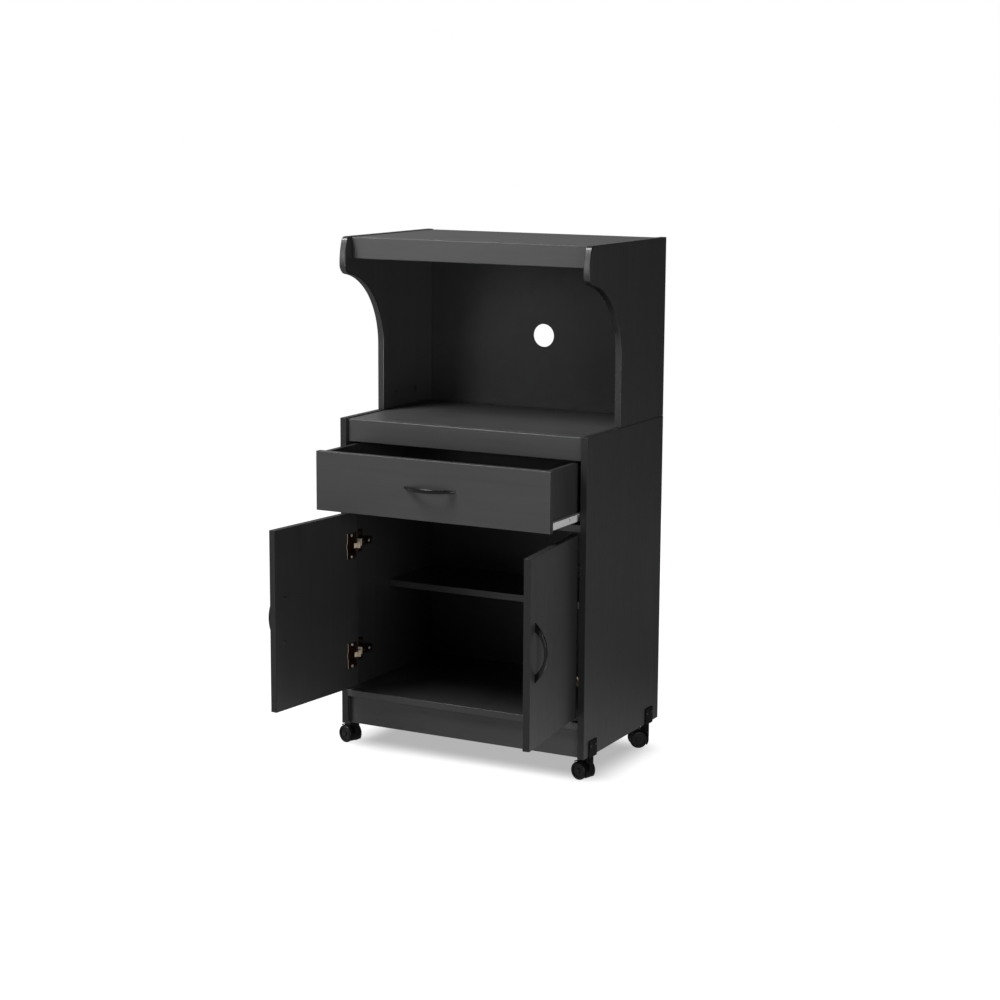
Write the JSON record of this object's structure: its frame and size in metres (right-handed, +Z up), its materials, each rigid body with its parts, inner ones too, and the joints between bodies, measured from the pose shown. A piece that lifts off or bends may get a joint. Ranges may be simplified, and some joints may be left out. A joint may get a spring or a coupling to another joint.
{
  "type": "kitchen cabinet",
  "caption": "Black kitchen cabinet on casters: an open microwave bay over a drawer and a cupboard with hinged doors.",
  "frame": {"origin": "on the floor, under the middle of the carcass", "axes": "+X to the right as seen from the front, +Y to the back, +Z up; the drawer and doors open towards -Y"},
  "size_m": [0.6637, 0.6582, 1.14],
  "materials": {
    "black_board": "satin laminate",
    "black_hardboard": "satin",
    "white_coated_steel": "gloss",
    "white_plastic": "matte",
    "handle_metal": "gloss",
    "nickel_steel": "nickel plated",
    "zinc_metal": "cast",
    "black_plastic": "satin",
    "wheel_plastic": "satin"
  },
  "bodies": {
    "cabinet": {"left_side_panel": "black_board", "right_side_panel": "black_board", "bottom_panel": "black_board", "kick_board": "black_board", "worktop": "black_board", "worktop_fascia": "black_board", "drawer_rail": "black_board", "lower_back_panel": "black_hardboard", "upper_back_panel": "black_hardboard", "left_upper_side_panel": "black_board", "right_upper_side_panel": "black_board", "top_panel": "black_board", "top_fascia": "black_board", "cam_locks": "zinc_metal", "cam_bolts": "nickel_steel", "shelf": "black_board", "shelf_pins": "nickel_steel", "runner_tracks": "white_coated_steel", "hinge_plates": "nickel_steel", "hinge_arms": "nickel_steel", "fitting_screws": "nickel_steel", "caster_brackets": "black_plastic"},
    "drawer": {"drawer_front": "black_board", "left_drawer_side": "black_board", "right_drawer_side": "black_board", "drawer_back": "black_board", "drawer_floor": "black_hardboard", "drawer_cam_locks": "zinc_metal", "drawer_cam_bolts": "nickel_steel", "drawer_screws": "nickel_steel", "drawer_handle": "handle_metal", "drawer_handle_screws": "nickel_steel", "drawer_runners": "white_coated_steel"},
    "track_rollers": {"track_rollers": "white_plastic"},
    "drawer_rollers": {"drawer_rollers": "white_plastic"},
    "left_door": {"left_door": "black_board", "left_hinge_cups": "nickel_steel", "left_cup_screws": "nickel_steel", "left_door_handle": "handle_metal", "left_door_handle_screws": "nickel_steel"},
    "left_hinge_links": {"left_hinge_links": "nickel_steel"},
    "right_door": {"right_door": "black_board", "right_hinge_cups": "nickel_steel", "right_cup_screws": "nickel_steel", "right_door_handle": "handle_metal", "right_door_handle_screws": "nickel_steel"},
    "right_hinge_links": {"right_hinge_links": "nickel_steel"},
    "front_left_swivel": {"front_left_caster_hood": "black_plastic", "front_left_caster_pins": "nickel_steel"},
    "front_left_wheels": {"front_left_caster_wheels": "wheel_plastic"},
    "front_right_swivel": {"front_right_caster_hood": "black_plastic", "front_right_caster_pins": "nickel_steel"},
    "front_right_wheels": {"front_right_caster_wheels": "wheel_plastic"},
    "rear_left_swivel": {"rear_left_caster_hood": "black_plastic", "rear_left_caster_pins": "nickel_steel"},
    "rear_left_wheels": {"rear_left_caster_wheels": "wheel_plastic"},
    "rear_right_swivel": {"rear_right_caster_hood": "black_plastic", "rear_right_caster_pins": "nickel_steel"},
    "rear_right_wheels": {"rear_right_caster_wheels": "wheel_plastic"}
  },
  "joints": [
    {"name": "drawer_slide", "type": "slide", "parent": "cabinet", "child": "drawer", "axis": [0, -1, 0], "range_m": [-0.13, 0.12]},
    {"name": "track_roller_spin", "type": "hinge", "parent": "cabinet", "child": "track_rollers", "pos_m": [0, -0.1615, 0.575], "axis": [1, 0, 0], "range_deg": [-940, 870]},
    {"name": "drawer_roller_spin", "type": "hinge", "parent": "drawer", "child": "drawer_rollers", "pos_m": [0, 0.0195, 0.5747], "axis": [1, 0, 0], "range_deg": [-940, 870]},
    {"name": "left_door_hinge", "type": "hinge", "parent": "cabinet", "child": "left_door", "pos_m": [-0.2755, -0.191, 0], "axis": [0, 0, 1], "range_deg": [-5.4, 96.6]},
    {"name": "left_link_hinge", "type": "hinge", "parent": "cabinet", "child": "left_hinge_links", "pos_m": [-0.2755, -0.191, 0], "axis": [0, 0, 1], "range_deg": [-3.2, 48.8]},
    {"name": "right_door_hinge", "type": "hinge", "parent": "cabinet", "child": "right_door", "pos_m": [0.2755, -0.191, 0], "axis": [0, 0, -1], "range_deg": [-5.6, 96.4]},
    {"name": "right_link_hinge", "type": "hinge", "parent": "cabinet", "child": "right_hinge_links", "pos_m": [0.2755, -0.191, 0], "axis": [0, 0, -1], "range_deg": [-3.3, 48.7]},
    {"name": "front_left_swivel_turn", "type": "hinge", "parent": "cabinet", "child": "front_left_swivel", "pos_m": [-0.2925, -0.1505, 0.056], "axis": [0, 0, 1], "continuous": true},
    {"name": "front_left_wheel_spin", "type": "hinge", "parent": "front_left_swivel", "child": "front_left_wheels", "pos_m": [-0.30867, -0.14525, 0.02], "axis": [-0.309, -0.9511, 0], "continuous": true},
    {"name": "front_right_swivel_turn", "type": "hinge", "parent": "cabinet", "child": "front_right_swivel", "pos_m": [0.2925, -0.1505, 0.056], "axis": [0, 0, 1], "continuous": true},
    {"name": "front_right_wheel_spin", "type": "hinge", "parent": "front_right_swivel", "child": "front_right_wheels", "pos_m": [0.27616, -0.14581, 0.02], "axis": [-0.2756, -0.9613, 0], "continuous": true},
    {"name": "rear_left_swivel_turn", "type": "hinge", "parent": "cabinet", "child": "rear_left_swivel", "pos_m": [-0.2925, 0.142, 0.056], "axis": [0, 0, 1], "continuous": true},
    {"name": "rear_left_wheel_spin", "type": "hinge", "parent": "rear_left_swivel", "child": "rear_left_wheels", "pos_m": [-0.29545, 0.12526, 0.02], "axis": [0.9848, -0.1736, 0], "continuous": true},
    {"name": "rear_right_swivel_turn", "type": "hinge", "parent": "cabinet", "child": "rear_right_swivel", "pos_m": [0.2925, 0.142, 0.056], "axis": [0, 0, 1], "continuous": true},
    {"name": "rear_right_wheel_spin", "type": "hinge", "parent": "rear_right_swivel", "child": "rear_right_wheels", "pos_m": [0.27875, 0.13201, 0.02], "axis": [0.5878, -0.809, 0], "continuous": true}
  ],
  "couplings": [
    {"joint": "track_roller_spin", "follows": "drawer_slide", "rad_per_m": 125},
    {"joint": "drawer_roller_spin", "follows": "drawer_slide", "rad_per_m": 125},
    {"joint": "left_link_hinge", "follows": "left_door_hinge", "ratio": 0.5},
    {"joint": "right_link_hinge", "follows": "right_door_hinge", "ratio": 0.5}
  ]
}
